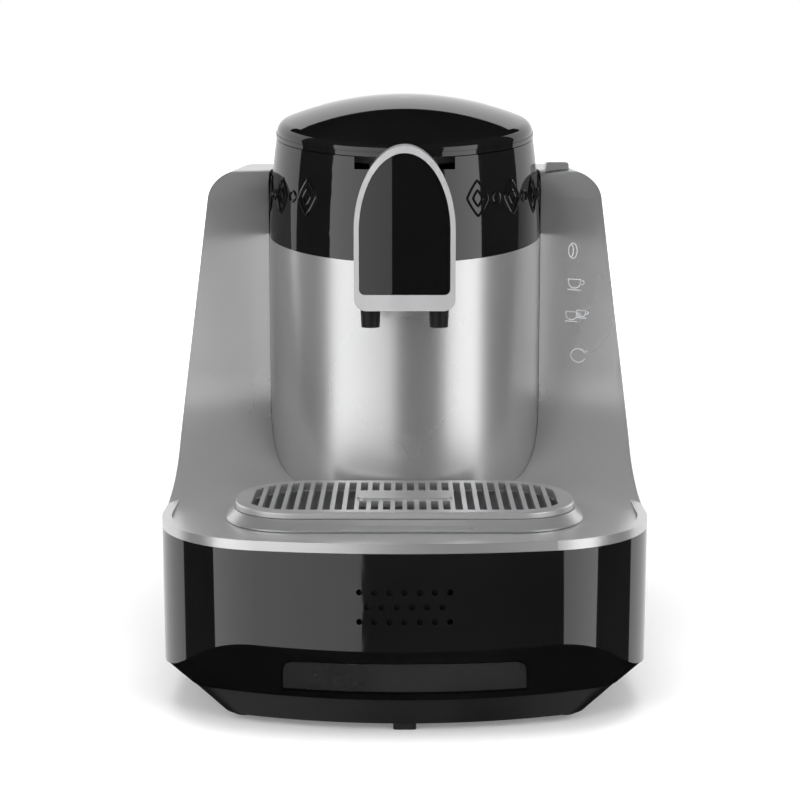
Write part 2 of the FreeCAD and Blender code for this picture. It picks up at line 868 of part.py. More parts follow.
def make_lid_shell():
    low = lid_seam_gap
    inside = dome(lid_wall, low - 1, 0)
    shell = dome(0, low, lid_skirt_step).cut(inside)
    half = hinge_arm_half_width
    arm_high = hinge_z + hinge_arm_high
    arm = box(-half, half, hinge_y - hinge_arm_length, hinge_y + hinge_post_back, hinge_z + hinge_arm_low, arm_high)
    post = box(-half, half, hinge_y - hinge_post_front, hinge_y + hinge_post_back, hinge_z, arm_high)
    knuckle = rod_x(-half, half, hinge_y, hinge_z, hinge_knuckle_radius)
    hinge = arm.fuse([post, knuckle]).cut(dome(lid_wall / 2, low - 2, 0))
    bore = rod_x(-half - 1, half + 1, hinge_y, hinge_z, hinge_pin_radius + hinge_pin_clearance)
    return shell.fuse(hinge.cut(bore))


def make_lid_liner():
    liner = ring_in_lid_frame(0, lid_radius - lid_skirt_step - lid_wall, liner_bottom, liner_bottom + liner_thickness)
    catch = box(catch_left, catch_right, release_y - catch_length / 2, release_y + catch_length / 2,
                catch_low, seam_height + 2)
    window = box(catch_left - catch_window_side, catch_right + catch_window_side,
                 release_y - release_width / 2 - release_clearance,
                 release_y + release_width / 2 + release_clearance, bar_low - release_clearance,
                 bar_high + release_clearance)
    return fused([liner, catch.cut(window)])


def make_lid_gasket():
    return ring_in_lid_frame(gasket_inner_radius, gasket_outer_radius, gasket_gap - rim_below_seam, liner_bottom)


def make_hinge_bracket():
    half = hinge_bracket_half_width
    foot = box(-half, half, hinge_y - hinge_foot_size, hinge_y, hinge_z - hinge_foot_size, hinge_z)
    knuckle = rod_x(-half, half, hinge_y, hinge_z, hinge_knuckle_radius)
    bracket = foot.fuse(knuckle).cut(band_body(0))
    gap = hinge_arm_half_width + hinge_side_gap
    bracket = bracket.cut(box(-gap, gap, hinge_y - hinge_arm_gap, hinge_y + hinge_foot_size,
                              hinge_z - hinge_arm_gap, hinge_z + hinge_foot_size))
    bracket = bracket.cut(rod_x(-half, half, hinge_y, hinge_z, hinge_pin_radius))
    clear_of_lid = ring_in_lid_frame(0, lid_radius + hinge_lid_clearance, -lid_seam_gap, lid_height)
    return bracket.cut(clear_of_lid).removeSplitter()


def make_hinge_pin():
    half = hinge_bracket_half_width
    return rod_x(-half, half, hinge_y, hinge_z, hinge_pin_radius)


# Lid release

def make_release_tab():
    y0 = release_y - tab_length / 2
    low = top_level - wall
    high = top_level + tab_height
    points = [V(tab_left, y0, low), V(tab_right, y0, low), V(tab_right, y0, high), V(tab_left + tab_lean, y0, high)]
    tab = prism(rounded_wire(points, [0, 0, tab_corner, tab_corner]), V(0, tab_length, 0))
    near = box(tab_left - tab_length, tab_right + tab_length, y0 - tab_length, y0 + 2 * tab_length,
               low - tab_length, top_level + tab_length)
    shell_form = envelope(-tab_gap).cut(dish_cut(-tab_gap)).common(near)
    tab = tab.cut(shell_form)
    shell_form.translate(V(-release_travel, 0, 0))
    tab = tab.cut(shell_form)
    stem = box(stem_left, stem_right, release_y - release_width / 2, release_y + release_width / 2,
               bar_high, top_level + 1)
    return fused([tab, stem])


def make_latch_bar():
    y0 = release_y - release_width / 2
    y1 = release_y + release_width / 2
    return box(bar_inner_end, stem_right, y0, y1, bar_low, bar_high)


def make_latch_guide():
    x0 = tower_radius + guide_tower_gap
    x1 = stem_right + latch_spring_length
    y0 = release_y - release_width / 2 - guide_side
    y1 = release_y + release_width / 2 + release_clearance + guide_outer_side
    low = bar_low - release_clearance
    floor = box(x0, x1 + wall, y0, y1, low - wall, low)
    end = box(x1, x1 + wall, y0, y1, low, bar_high + release_clearance)
    side = box(x0, stem_right + 1, y1 - wall, y1, low, top_level - wall)
    return fused([floor, end, side])


def make_latch_spring():
    z = (bar_low + bar_high) / 2
    x0 = stem_right
    x1 = stem_right + latch_spring_length
    tube = rod_x(x0, x1, release_y, z, latch_spring_radius)
    return tube.cut(rod_x(x0, x1, release_y, z, latch_spring_radius - latch_spring_wire))


# Spout

def nose_wire(inset, bottom_inset, corner, y):
    """Arch outline of the spout, seen from the front."""
    half = nose_half_width - inset
    top = nose_spring_line + nose_arch_height - inset * nose_arch_inset_share
    z0 = nose_bottom + bottom_inset
    arch = Part.Ellipse(V(0, y, top), V(half, y, nose_spring_line), V(0, y, nose_spring_line))
    quarter = math.pi / 2
    upper = [arch.toShape(-quarter, quarter)]
    start = V(-half, y, nose_spring_line)
    end = V(half, y, nose_spring_line)
    left_low = V(-half, y, z0 + corner)
    right_low = V(half, y, z0 + corner)
    diagonal = corner * (1 - math.sqrt(0.5))
    upper += [
        Part.LineSegment(start, left_low).toShape(),
        Part.Arc(left_low, V(-half + diagonal, y, z0 + diagonal), V(-half + corner, y, z0)).toShape(),
        Part.LineSegment(V(-half + corner, y, z0), V(half - corner, y, z0)).toShape(),
        Part.Arc(V(half - corner, y, z0), V(half - diagonal, y, z0 + diagonal), right_low).toShape(),
        Part.LineSegment(right_low, end).toShape(),
    ]
    return Part.Wire(Part.__sortEdges__(upper))


def nose_prism(inset, bottom_inset, corner, y0, y1):
    return prism(nose_wire(inset, bottom_inset, corner, y0), V(0, y1 - y0, 0))


def make_nose_housing():
    y0 = nose_front + nose_frame_depth
    body = nose_prism(0, 0, nose_corner_radius, y0, tower_y)
    hollow = nose_prism(nose_wall, nose_wall, nose_inner_corner, y0 + nose_wall, tower_y)
    body = body.cut(hollow).cut(rod_z(0, tower_y, nose_bottom - 1, lid_top, tower_radius))
    for x in (-nozzle_x, nozzle_x):
        body = body.cut(rod_z(x, nozzle_y, nose_bottom - 1, nose_bottom + nose_wall + 1, nozzle_spigot_radius))
    return body


def make_nose_frame():
    y1 = nose_front + nose_frame_depth
    frame = nose_prism(0, 0, nose_corner_radius, nose_front, y1)
    return frame.cut(nose_prism(nose_frame_side, nose_frame_bottom, nose_window_corner, nose_front - 1, y1 + 1))


def make_nose_window():
    y1 = nose_front + nose_frame_depth
    return nose_prism(nose_frame_side, nose_frame_bottom, nose_window_corner, nose_front + nose_window_sink, y1)


def make_nozzle(x):
    tip = nose_bottom - nozzle_length
    cone = Part.makeCone(nozzle_tip_radius, nozzle_top_radius, nozzle_length, V(x, nozzle_y, tip), V(0, 0, 1))
    spigot = rod_z(x, nozzle_y, nose_bottom, nose_bottom + nose_wall, nozzle_spigot_radius)
    bore = rod_z(x, nozzle_y, tip - 1, nose_bottom + nose_wall + 1, nozzle_bore_radius)
    return cone.fuse(spigot).cut(bore).removeSplitter()


def make_spout_manifold():
    low = nose_bottom + nose_wall
    y0 = column_y - manifold_depth / 2
    y1 = column_y + manifold_depth / 2
    block = box(-manifold_half_width, manifold_half_width, y0, y1, low, low + manifold_height)
    neck = box(-manifold_neck_half_width, manifold_neck_half_width, y0, y1, low, tube_level + manifold_neck_half_width)
    body = fused([block, neck])
    body = body.cut(rod_z(0, column_y, low + manifold_bore_rise, tube_level, nozzle_bore_radius))
    body = body.cut(rod_y(0, column_y, y1 + 1, tube_level, nozzle_bore_radius))
    body = body.cut(rod_x(-nozzle_x, nozzle_x, column_y, low + manifold_bore_rise, nozzle_bore_radius))
    for x in (-nozzle_x, nozzle_x):
        body = body.cut(rod_z(x, column_y, low - 1, low + manifold_bore_rise, nozzle_bore_radius))
    return body


# Drip tray

def make_tray_well():
    outer_grow = well_gap + well_wall - tray_inset
    inner_grow = well_gap - tray_inset
    floor = tray_floor - tray_gap - well_wall
    well = tray_prism(outer_grow, floor, deck_split)
    return well.cut(tray_prism(inner_grow, floor + well_wall, deck_split + 1))


def make_drip_tray():
    lip = plate_top - plate_thickness - tray_gap
    low = deck_floor + tray_gap
    flange_low = tray_wire(flange_grow_side, flange_grow_front, flange_grow_back, low)
    flange_mid = tray_wire(flange_grow_side, flange_grow_front, flange_grow_back, low + flange_edge)
    flange_high = tray_wire(tray_lip_grow, tray_lip_grow, tray_lip_grow, lip)
    flange = Part.makeLoft([flange_mid, flange_high], True, True)
    edge = prism(flange_low, V(0, 0, flange_edge))
    pan = tray_prism(-tray_inset, tray_floor, low + 1)
    tray = fused([flange, edge, pan])
    tray = tray.cut(tray_prism(-tray_inset - tray_wall, tray_floor + tray_wall, lip + 1))
    pull = box(-tray_pull_half_width, tray_pull_half_width, plate_front - flange_grow_front - 1,
               plate_front - flange_grow_front + tray_pull_depth, tray_pull_low, tray_pull_high)
    return tray.cut(pull)


def make_drip_grille():
    low = plate_top - plate_thickness
    plate = tray_prism(0, low, plate_top)
    plate = plate.makeFillet(plate_edge_fillet, [edge for edge in plate.Edges if abs(edge.BoundBox.ZMin - plate_top) < 1e-6])
    slot_area = tray_prism(-slot_margin, low - 1, plate_top + 1)
    slots = []
    for column in range(slot_columns):
        x = (column - (slot_columns - 1) / 2) * slot_pitch
        x0 = x - slot_width / 2
        x1 = x + slot_width / 2
        if abs(x) < short_slot_columns / 2 * slot_pitch:
            slots.append(box(x0, x1, plate_front, grip_front, low - 1, plate_top + 1))
            slots.append(box(x0, x1, grip_back, plate_back, low - 1, plate_top + 1))
        else:
            slots.append(box(x0, x1, plate_front, plate_back, low - 1, plate_top + 1))
    plate = plate.cut(Part.makeCompound(slots).common(slot_area))
    grip_half = short_slot_columns / 2 * slot_pitch
    y0 = grip_front + grip_inset
    y1 = grip_back - grip_inset
    points = [V(-grip_half, y0, plate_top), V(grip_half, y0, plate_top),
              V(grip_half, y1, plate_top), V(-grip_half, y1, plate_top)]
    grip = prism(rounded_wire(points, [grip_corner] * 4), V(0, 0, grip_rise))
    rim_grow = -tray_inset - tray_wall - grille_rim_gap
    rim = tray_prism(rim_grow, low - grille_rim_depth, low + 0.5)
    rim = rim.cut(tray_prism(rim_grow - grille_rim_wall, low - grille_rim_depth - 1, low + 1))
    rim = rim.cut(Part.makeCompound(slots).common(slot_area))
    return fused([plate, grip, rim])


# Water tank and bay

def round_front_block(grow, z0, z1):
    """Block behind the tower, hollowed in front to pass around it."""
    half = bay_half_width - grow
    block = box(-half, half, bay_front + grow, rear + 1, z0, z1)
    return block.cut(rod_z(0, tower_y, z0 - 1, z1 + 1, tower_radius + tower_gap + bay_tower_gap + grow))


def outlet_rod(y0, y1, radius):
    return rod_y(outlet_x, y0, y1, outlet_z, radius)


def make_tank_bay():
    outer = round_front_block(-bay_wall, deck_split, bay_roof + bay_wall)
    inner = round_front_block(0, deck_split + bay_wall, bay_roof)
    bay = outer.common(body_prism(wall, deck_split, top_level)).cut(inner)
    bay = bay.cut(outlet_rod(bay_front - bay_wall - 1, bay_front + 1, dock_seal_radius))
    return bay


def make_dock_block():
    y1 = bay_front - bay_wall
    y0 = y1 - dock_depth
    block = box(outlet_x - dock_width / 2, outlet_x + dock_width / 2, y0, y1,
                outlet_z - dock_width / 2, outlet_z + dock_width / 2)
    block = block.cut(rod_z(0, tower_y, outlet_z - dock_width, outlet_z + dock_width, tower_radius + tower_gap))
    block = block.cut(outlet_rod(y1 - outlet_reach, y1 + 1, outlet_radius + dock_running_gap))
    block = block.cut(rod_y(outlet_x, y0 + dock_depth / 2, y1, outlet_z, hose_bore_radius))
    return block.cut(rod_z(outlet_x, y0 + dock_depth / 2, outlet_z - dock_width, outlet_z, hose_bore_radius))


def make_dock_seal():
    seal = outlet_rod(bay_front - bay_wall, bay_front, dock_seal_radius)
    return seal.cut(outlet_rod(bay_front - bay_wall - 1, bay_front + 1, outlet_radius + dock_running_gap))


def tank_form(inset, z0, z1):
    block = round_front_block(tank_gap + inset, z0, z1)
    return block.common(body_prism(inset, z0, z1))


def make_water_tank():
    low = deck_split + bay_wall + tank_gap
    top = bay_roof - tank_headroom
    tank = tank_form(0, low, top).cut(tank_form(tank_wall, low + tank_wall, top + 1))
    grip = box(-tank_grip_width / 2, tank_grip_width / 2, rear - tank_grip_depth - tank_wall, rear + 1,
               tank_grip_low - tank_wall, tank_grip_low + tank_grip_height + tank_wall)
    grip_space = box(-tank_grip_width / 2 + tank_wall, tank_grip_width / 2 - tank_wall, rear - tank_grip_depth,
                     rear + 1, tank_grip_low, tank_grip_low + tank_grip_height)
    tank = fused([tank, grip.common(tank_form(0, low, top))]).cut(grip_space)
    return tank.cut(outlet_rod(bay_front, bay_front + 2 * tank_wall + tank_gap, outlet_radius - outlet_spigot_step))


def make_tank_outlet():
    y0 = bay_front - bay_wall - outlet_reach + 1
    y1 = bay_front + tank_gap
    nipple = outlet_rod(y0, y1, outlet_radius)
    spigot = outlet_rod(y1, y1 + tank_wall, outlet_radius - outlet_spigot_step)
    return nipple.fuse(spigot).cut(outlet_rod(y0 - 1, y1 + tank_wall + 1, outlet_bore_radius)).removeSplitter()


def make_tank_filter():
    y0 = bay_front + tank_gap + tank_wall
    radius = outlet_radius + outlet_spigot_step
    return outlet_rod(y0, y0 + filter_length, radius).cut(outlet_rod(y0, y0 + filter_depth, radius - filter_wall))


# Water path

def make_pump():
    body = rod_y(pump_x, pump_front, pump_rear, pump_height, pump_radius)
    nipple = rod_y(pump_x, pump_front - pump_nipple, pump_front, pump_height, hose_radius)
    return fused([body, nipple])


def make_pump_mounts():
    mounts = []
    for y in (pump_front + pump_mount_inset, pump_rear - pump_mount_inset):
        block = box(pump_x - pump_mount_half_width, pump_x + pump_mount_half_width,
                    y - pump_mount_half_length, y + pump_mount_half_length, foot_height + wall, pump_height)
        mounts.append(block.cut(rod_y(pump_x, pump_front, pump_rear, pump_height, pump_radius)))
    return Part.makeCompound(mounts)


def hose(points):
    return swept_tube(points, hose_bend, hose_radius).cut(swept_tube(points, hose_bend, hose_bore_radius))


def make_supply_hose():
    y = bay_front - bay_wall - dock_depth / 2
    top = outlet_z - dock_width / 2
    side = math.sqrt(pump_radius ** 2 - hose_radius ** 2)
    x_end = pump_x - side - hose_sink
    run = hose([V(outlet_x, y, top), V(outlet_x, y, pump_height), V(x_end, y, pump_height)])
    end = rod_x(x_end, x_end + 2 * hose_sink, y, pump_height, hose_radius)
    pump_room = rod_y(pump_x, pump_front, pump_rear, pump_height, pump_radius)
    return run.fuse(end).cut(pump_room).removeSplitter()


def riser_points(x, z0, start):
    """Hose up inside the tower and in towards the chamber."""
    inward = V(-x, tower_y - riser_y, 0).normalize()
    top = V(x, riser_y, inlet_level)
    reach_in = math.hypot(x, tower_y - riser_y) - chamber_radius + 2
    return start + [top, top + inward * reach_in]


def make_feed_hose():
    start = [V(pump_x, pump_front - pump_nipple, pump_height), V(pump_x, riser_y, pump_height)]
    short_bend = pump_front - pump_nipple - riser_y - 1
    points = riser_points(pump_x, pump_height, start)
    tube = swept_tube(points, short_bend, hose_radius).cut(swept_tube(points, short_bend, hose_bore_radius))
    return tube.cut(rod_z(0, tower_y, chamber_floor, seam_height, chamber_radius))


def make_vent_valve():
    low = foot_height + wall
    return box(riser_x - vent_valve_width / 2, riser_x + vent_valve_width / 2, riser_y - vent_valve_depth / 2,
               riser_y + vent_valve_depth / 2, low, low + vent_valve_height)


def make_vent_hose():
    z0 = foot_height + wall + vent_valve_height
    points = riser_points(riser_x, z0, [V(riser_x, riser_y, z0)])
    tube = swept_tube(points, hose_bend, hose_radius).cut(swept_tube(points, hose_bend, hose_bore_radius))
    return tube.cut(rod_z(0, tower_y, chamber_floor, seam_height, chamber_radius))


# Electronics

def board_post_places():
    xs = (board_left + board_margin, board_left + board_width - board_margin)
    ys = (board_front + board_margin, board_front + board_depth - board_margin)
    return [(x, y) for y in ys for x in xs]


def make_board_posts():
    posts = [rod_z(x, y, foot_height + wall, board_height, board_post_radius) for x, y in board_post_places()]
    return Part.makeCompound(posts)


def make_control_board():
    return box(board_left, board_left + board_width, board_front, board_front + board_depth,
               board_height, board_height + board_thickness)


def board_block(place, size):
    x = board_left + place[0]
    y = board_front + place[1]
    z = board_height + board_thickness
    return box(x, x + size[0], y, y + size[1], z, z + size[2])


def make_board_parts():
    z = board_height + board_thickness
    capacitor = rod_z(board_left + capacitor_place[0], board_front + capacitor_place[1], z,
                      z + capacitor_height, capacitor_radius)
    return Part.makeCompound([board_block(relay_place, relay_size), board_block(transformer_place, transformer_size),
                              board_block(triac_place, triac_size), board_block(chip_place, chip_size), capacitor])


def make_touch_sensor():
    foil = dish_cut(wall + touch_thickness).cut(dish_cut(wall))
    window = box(touch_left, touch_right, dish_axis_y, rear, touch_low, touch_high)
    return foil.common(window)


def save(name, shape):
    shape.exportStep("parts/" + name + ".step")
    solids = shape.Solids
    volume = sum(solid.Volume for solid in solids)
    print(name, len(solids), "solids", round(volume / 1000, 2), "cm3", "valid" if shape.isValid() else "BROKEN")


def main():
    os.makedirs("parts", exist_ok=True)
    save("base_pan", make_base_pan())
    save("base_screws", make_base_screws())
    save("feet", make_feet())
    save("lower_housing", make_lower_housing())
    save("chassis", make_chassis())
    save("speaker", make_speaker())
    save("cord_gland", make_cord_gland())
    save("body_shell", make_body_shell())
    save("tower_shell", make_tower_shell())
    save("tower_band", make_band())
    save("chamber_collar", make_chamber_collar())
    save("chamber_cradle", make_chamber_cradle())
    save("heater_plate", make_heater_plate())
    save("heating_element", make_heating_element())
    save("thermostat", make_thermostat())
    save("brew_chamber", make_brew_chamber())
    save("transfer_tube", make_transfer_tube())
    save("lid_shell", make_lid_shell())
    save("lid_liner", make_lid_liner())
    save("lid_gasket", make_lid_gasket())
    save("hinge_bracket", make_hinge_bracket())
    save("hinge_pin", make_hinge_pin())
    save("release_tab", make_release_tab())
    save("latch_bar", make_latch_bar())
    save("latch_guide", make_latch_guide())
    save("latch_spring", make_latch_spring())
    save("nose_housing", make_nose_housing())
    save("nose_frame", make_nose_frame())
    save("nose_window", make_nose_window())
    save("nozzle_left", make_nozzle(-nozzle_x))
    save("nozzle_right", make_nozzle(nozzle_x))
    save("spout_manifold", make_spout_manifold())
    save("tray_well", make_tray_well())
    save("drip_tray", make_drip_tray())
    save("drip_grille", make_drip_grille())
    save("tank_bay", make_tank_bay())
    save("dock_block", make_dock_block())
    save("dock_seal", make_dock_seal())
    save("water_tank", make_water_tank())
    save("tank_outlet", make_tank_outlet())
    save("tank_filter", make_tank_filter())
    save("pump", make_pump())
    save("pump_mounts", make_pump_mounts())
    save("supply_hose", make_supply_hose())
    save("feed_hose", make_feed_hose())
    save("vent_valve", make_vent_valve())
    save("vent_hose", make_vent_hose())
    save("board_posts", make_board_posts())
    save("control_board", make_control_board())
    save("board_parts", make_board_parts())
    save("touch_sensor", make_touch_sensor())


main()
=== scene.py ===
import json
import math

import bpy
import bmesh
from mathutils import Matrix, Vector


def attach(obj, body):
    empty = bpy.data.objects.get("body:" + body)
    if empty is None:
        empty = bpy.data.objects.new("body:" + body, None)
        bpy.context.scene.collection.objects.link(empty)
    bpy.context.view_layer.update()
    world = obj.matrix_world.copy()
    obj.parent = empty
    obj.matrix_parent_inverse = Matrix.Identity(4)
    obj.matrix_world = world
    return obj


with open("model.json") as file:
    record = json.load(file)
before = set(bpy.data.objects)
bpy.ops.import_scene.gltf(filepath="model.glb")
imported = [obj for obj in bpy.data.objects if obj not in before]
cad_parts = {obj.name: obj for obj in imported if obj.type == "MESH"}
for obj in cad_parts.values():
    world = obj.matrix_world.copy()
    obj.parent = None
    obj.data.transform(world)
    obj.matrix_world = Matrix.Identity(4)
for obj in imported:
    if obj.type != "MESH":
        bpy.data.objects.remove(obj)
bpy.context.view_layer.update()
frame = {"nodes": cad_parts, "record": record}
nodes = frame["nodes"]
print("frame loaded:", len(nodes), "nodes")


# Node helpers

def newFinish(name):
    finish = bpy.data.materials.new(name)
    finish.use_nodes = True
    tree = finish.node_tree
    shader = tree.nodes["Principled BSDF"]
    return finish, tree, shader


def addNode(tree, kind, **inputs):
    node = tree.nodes.new(kind)
    for key, value in inputs.items():
        node.inputs[key.replace("_", " ")].default_value = value
    return node


def mathNode(tree, operation, first, second):
    node = tree.nodes.new("ShaderNodeMath")
    node.operation = operation
    for socket, value in zip(node.inputs, (first, second)):
        if isinstance(value, float):
            socket.default_value = value
        else:
            tree.links.new(value, socket)
    return node.outputs[0]


def grainNoise(tree, scale, detail=3.0, stretch=(1, 1, 1)):
    # noise in metres; a small stretch value draws the grain out along that axis
    place = tree.nodes.new("ShaderNodeTexCoord")
    mapping = tree.nodes.new("ShaderNodeMapping")
    mapping.inputs["Scale"].default_value = stretch
    tree.links.new(place.outputs["Object"], mapping.inputs["Vector"])
    noise = addNode(tree, "ShaderNodeTexNoise", Scale=scale, Detail=detail)
    tree.links.new(mapping.outputs["Vector"], noise.inputs["Vector"])
    return noise.outputs["Fac"]


def spread(tree, source, low, high, start=0.3, end=0.7):
    ramp = addNode(tree, "ShaderNodeMapRange", From_Min=start, From_Max=end, To_Min=low, To_Max=high)
    tree.links.new(source, ramp.inputs["Value"])
    return ramp.outputs["Result"]


def tint(tree, source, dark, light, start=0.3, end=0.7):
    ramp = tree.nodes.new("ShaderNodeValToRGB")
    ramp.color_ramp.elements[0].position = start
    ramp.color_ramp.elements[0].color = (*dark, 1)
    ramp.color_ramp.elements[1].position = end
    ramp.color_ramp.elements[1].color = (*light, 1)
    tree.links.new(source, ramp.inputs["Fac"])
    return ramp.outputs["Color"]


def addBump(tree, shader, source, depth):
    bump = addNode(tree, "ShaderNodeBump", Strength=1.0, Distance=depth)
    tree.links.new(source, bump.inputs["Height"])
    tree.links.new(bump.outputs["Normal"], shader.inputs["Normal"])


def plainFinish(name, look):
    # one finish from a dictionary: two tones, roughness that wanders a little, and a fine surface relief
    finish, tree, shader = newFinish(name)
    stretch = look.get("stretch", (1, 1, 1))
    cloud = grainNoise(tree, look["cloudScale"], 4.0, stretch)
    grain = grainNoise(tree, look["grainScale"], 2.0, stretch)
    tree.links.new(tint(tree, cloud, look["dark"], look["light"]), shader.inputs["Base Color"])
    tree.links.new(spread(tree, cloud, look["roughLow"], look["roughHigh"]), shader.inputs["Roughness"])
    addBump(tree, shader, grain, look["grainDepth"])
    shader.inputs["Metallic"].default_value = look.get("metallic", 0.0)
    shader.inputs["IOR"].default_value = look.get("ior", 1.45)
    shader.inputs["Anisotropic"].default_value = look.get("anisotropic", 0.0)
    return finish


# Finishes: scales are per metre, depths in metres

satinSilverLook = {
    "dark": (0.60, 0.60, 0.605), "light": (0.65, 0.65, 0.655), "metallic": 0.8,
    "roughLow": 0.26, "roughHigh": 0.31, "cloudScale": 9.0, "grainScale": 2600.0, "grainDepth": 0.000012,
}
pianoBlackLook = {
    "dark": (0.003, 0.003, 0.0032), "light": (0.005, 0.005, 0.0052), "ior": 1.68,
    "roughLow": 0.03, "roughHigh": 0.06, "cloudScale": 22.0, "grainScale": 120.0, "grainDepth": 0.000004,
}
satinBlackLook = {
    "dark": (0.005, 0.005, 0.0055), "light": (0.009, 0.009, 0.0095), "ior": 1.34,
    "roughLow": 0.38, "roughHigh": 0.5, "cloudScale": 30.0, "grainScale": 1800.0, "grainDepth": 0.00003,
}
brightTrimLook = {
    "dark": (0.80, 0.80, 0.81), "light": (0.86, 0.86, 0.87), "metallic": 0.64, "anisotropic": 0.3,
    "roughLow": 0.2, "roughHigh": 0.28, "cloudScale": 60.0, "grainScale": 500.0, "grainDepth": 0.000008,
    "stretch": (1, 1, 0.05),
}
windowBlackLook = {
    "dark": (0.002, 0.002, 0.0022), "light": (0.003, 0.003, 0.0032), "ior": 1.6,
    "roughLow": 0.015, "roughHigh": 0.03, "cloudScale": 25.0, "grainScale": 60.0, "grainDepth": 0.000002,
}
grilleLook = {
    "dark": (0.64, 0.64, 0.645), "light": (0.76, 0.76, 0.765), "metallic": 0.8, "anisotropic": 0.4,
    "roughLow": 0.26, "roughHigh": 0.38, "cloudScale": 40.0, "grainScale": 900.0, "grainDepth": 0.00001,
    "stretch": (0.04, 1, 1),
}
innerSteelLook = {
    "dark": (0.42, 0.42, 0.43), "light": (0.56, 0.56, 0.57), "metallic": 1.0, "anisotropic": 0.5,
    "roughLow": 0.24, "roughHigh": 0.36, "cloudScale": 30.0, "grainScale": 700.0, "grainDepth": 0.00001,
    "stretch": (1, 1, 0.05),
}
castAluminiumLook = {
    "dark": (0.34, 0.34, 0.35), "light": (0.48, 0.48, 0.49), "metallic": 1.0,
    "roughLow": 0.45, "roughHigh": 0.62, "cloudScale": 60.0, "grainScale": 900.0, "grainDepth": 0.00006,
}
rubberLook = {
    "dark": (0.009, 0.009, 0.009), "light": (0.018, 0.018, 0.018),
    "roughLow": 0.68, "roughHigh": 0.82, "cloudScale": 80.0, "grainScale": 1500.0, "grainDepth": 0.00004,
}
siliconeLook = {
    "dark": (0.34, 0.34, 0.35), "light": (0.42, 0.42, 0.43),
    "roughLow": 0.5, "roughHigh": 0.62, "cloudScale": 50.0, "grainScale": 800.0, "grainDepth": 0.00002,
}
boardLook = {
    "dark": (0.008, 0.07, 0.028), "light": (0.014, 0.11, 0.045),
    "roughLow": 0.28, "roughHigh": 0.45, "cloudScale": 220.0, "grainScale": 1200.0, "grainDepth": 0.00002,
}
greyMouldLook = {
    "dark": (0.13, 0.13, 0.14), "light": (0.18, 0.18, 0.19),
    "roughLow": 0.42, "roughHigh": 0.55, "cloudScale": 40.0, "grainScale": 1500.0, "grainDepth": 0.00003,
}
zincLook = {
    "dark": (0.42, 0.43, 0.44), "light": (0.58, 0.58, 0.58), "metallic": 1.0,
    "roughLow": 0.22, "roughHigh": 0.4, "cloudScale": 180.0, "grainScale": 900.0, "grainDepth": 0.00001,
}
smokedTankLook = {
    "colour": (0.30, 0.32, 0.34, 1), "roughLow": 0.03, "roughHigh": 0.1, "ior": 1.49, "clear": 0.75,
    "hazeScale": 35.0, "grainScale": 90.0, "grainDepth": 0.00001,
}
markLook = {
    "dark": (0.80, 0.81, 0.82), "light": (0.88, 0.89, 0.90),
    "roughLow": 0.35, "roughHigh": 0.45, "cloudScale": 90.0, "grainScale": 2000.0, "grainDepth": 0.000005,
}
insertLook = {
    "dark": (0.018, 0.018, 0.019), "light": (0.026, 0.026, 0.027), "ior": 1.5,
    "roughLow": 0.24, "roughHigh": 0.34, "cloudScale": 26.0, "grainScale": 1500.0, "grainDepth": 0.00002,
}


def tankFinish():
    look = smokedTankLook
    finish, tree, shader = newFinish("smokedTank")
    shader.inputs["Base Color"].default_value = look["colour"]
    shader.inputs["IOR"].default_value = look["ior"]
    shader.inputs["Transmission Weight"].default_value = look["clear"]
    haze = grainNoise(tree, look["hazeScale"], 4.0)
    tree.links.new(spread(tree, haze, look["roughLow"], look["roughHigh"]), shader.inputs["Roughness"])
    addBump(tree, shader, grainNoise(tree, look["grainScale"]), look["grainDepth"])
    return finish


finishes = {
    "silver_satin": plainFinish("satinSilver", satinSilverLook),
    "black_gloss": plainFinish("pianoBlack", pianoBlackLook),
    "black_satin": plainFinish("satinBlack", satinBlackLook),
    "silver_trim": plainFinish("brightTrim", brightTrimLook),
    "window_gloss": plainFinish("windowBlack", windowBlackLook),
    "grille_metal": plainFinish("grilleSteel", grilleLook),
    "steel_inner": plainFinish("innerSteel", innerSteelLook),
    "aluminium_cast": plainFinish("castAluminium", castAluminiumLook),
    "rubber_black": plainFinish("mouldedRubber", rubberLook),
    "silicone_grey": plainFinish("greySilicone", siliconeLook),
    "tank_smoke": tankFinish(),
    "board_green": plainFinish("boardMask", boardLook),
    "part_grey": plainFinish("greyMould", greyMouldLook),
    "screw_steel": plainFinish("zincSteel", zincLook),
}
markFinish = plainFinish("paleMark", markLook)
insertFinish = plainFinish("softBlackInsert", insertLook)


def bowFace(finish, bow):
    # shades a flat face as if it bulged a little across, bow in 1/m
    tree = finish.node_tree
    shader = next(node for node in tree.nodes if node.type == "BSDF_PRINCIPLED")
    place = tree.nodes.new("ShaderNodeTexCoord")
    split = tree.nodes.new("ShaderNodeSeparateXYZ")
    tree.links.new(place.outputs["Object"], split.inputs["Vector"])
    square = mathNode(tree, "MULTIPLY", split.outputs["X"], split.outputs["X"])
    bulge = addNode(tree, "ShaderNodeBump", Strength=1.0, Distance=1.0)
    tree.links.new(mathNode(tree, "MULTIPLY", square, -bow), bulge.inputs["Height"])
    tree.links.new(shader.inputs["Normal"].links[0].from_socket, bulge.inputs["Normal"])
    tree.links.new(bulge.outputs["Normal"], shader.inputs["Normal"])


windowBow = 5.3
bowFace(finishes["window_gloss"], windowBow)


def dressNodes():
    for row in frame["record"]["subparts"]:
        mesh = nodes[row["node"]].data
        mesh.materials.clear()
        mesh.materials.append(finishes[row["material_slot"]])


dressNodes()
print("finishes on:", len(finishes))


# Small edge rounding on the solids that catch the light, in metres

edgeRounding = {"nose_frame": 0.0005, "release_tab": 0.0005, "drip_grille": 0.00025, "drip_tray": 0.0003}
edgeLook = {"segments": 2, "sharperThan": 50}


